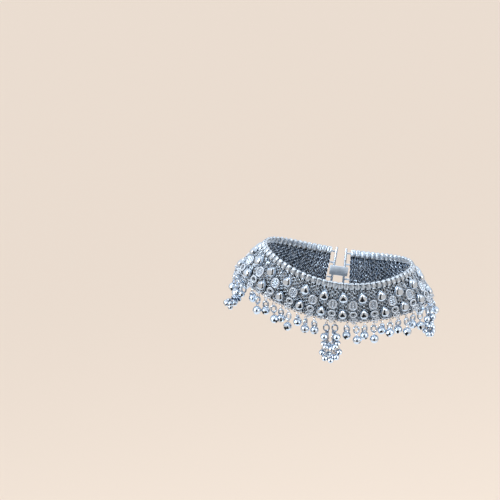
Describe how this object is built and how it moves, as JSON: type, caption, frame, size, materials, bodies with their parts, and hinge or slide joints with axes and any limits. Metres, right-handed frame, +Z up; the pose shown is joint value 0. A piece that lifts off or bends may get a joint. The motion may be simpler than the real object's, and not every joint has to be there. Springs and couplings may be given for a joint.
{
  "type": "payal anklet",
  "caption": "Wide silver payal anklet: a flexible linked band with rows of domed pears and ovals, a fringe of small round bells and three bell tassels.",
  "frame": {"origin": "middle of the opening that the ankle passes through, at the level of the band's top edge, where the anklet sits when worn", "axes": "+Z up; +X towards the heel and -X towards the toes, along the long way of the worn loop; -Y the near, outer side with the middle tassel; +Y the side with the hidden clasp"},
  "size_m": [0.1319, 0.0756, 0.0691],
  "materials": {
    "plated_silver": "silver-plated white metal, soft polish, cool tone, darkened in the recesses",
    "oxidised_silver": "the same metal, darker and duller where polish does not reach between the links"
  },
  "bodies": {
    "root": {"border_chain": "plated_silver", "link_mesh": "oxidised_silver", "bottom_rail": "plated_silver", "upper_pear_row": "plated_silver", "oval_row": "plated_silver", "lower_pear_and_ring_row": "plated_silver", "trefoil_row": "plated_silver", "bell_fringe_far_front": "plated_silver", "bell_fringe_near_front": "plated_silver", "bell_fringe_near_heel": "plated_silver", "bell_fringe_far_heel": "plated_silver", "tassel_front": "plated_silver", "tassel_side": "plated_silver", "tassel_heel": "plated_silver", "end_bar_front": "plated_silver", "end_bar_heel": "plated_silver", "clasp": "plated_silver"}
  },
  "joints": []
}
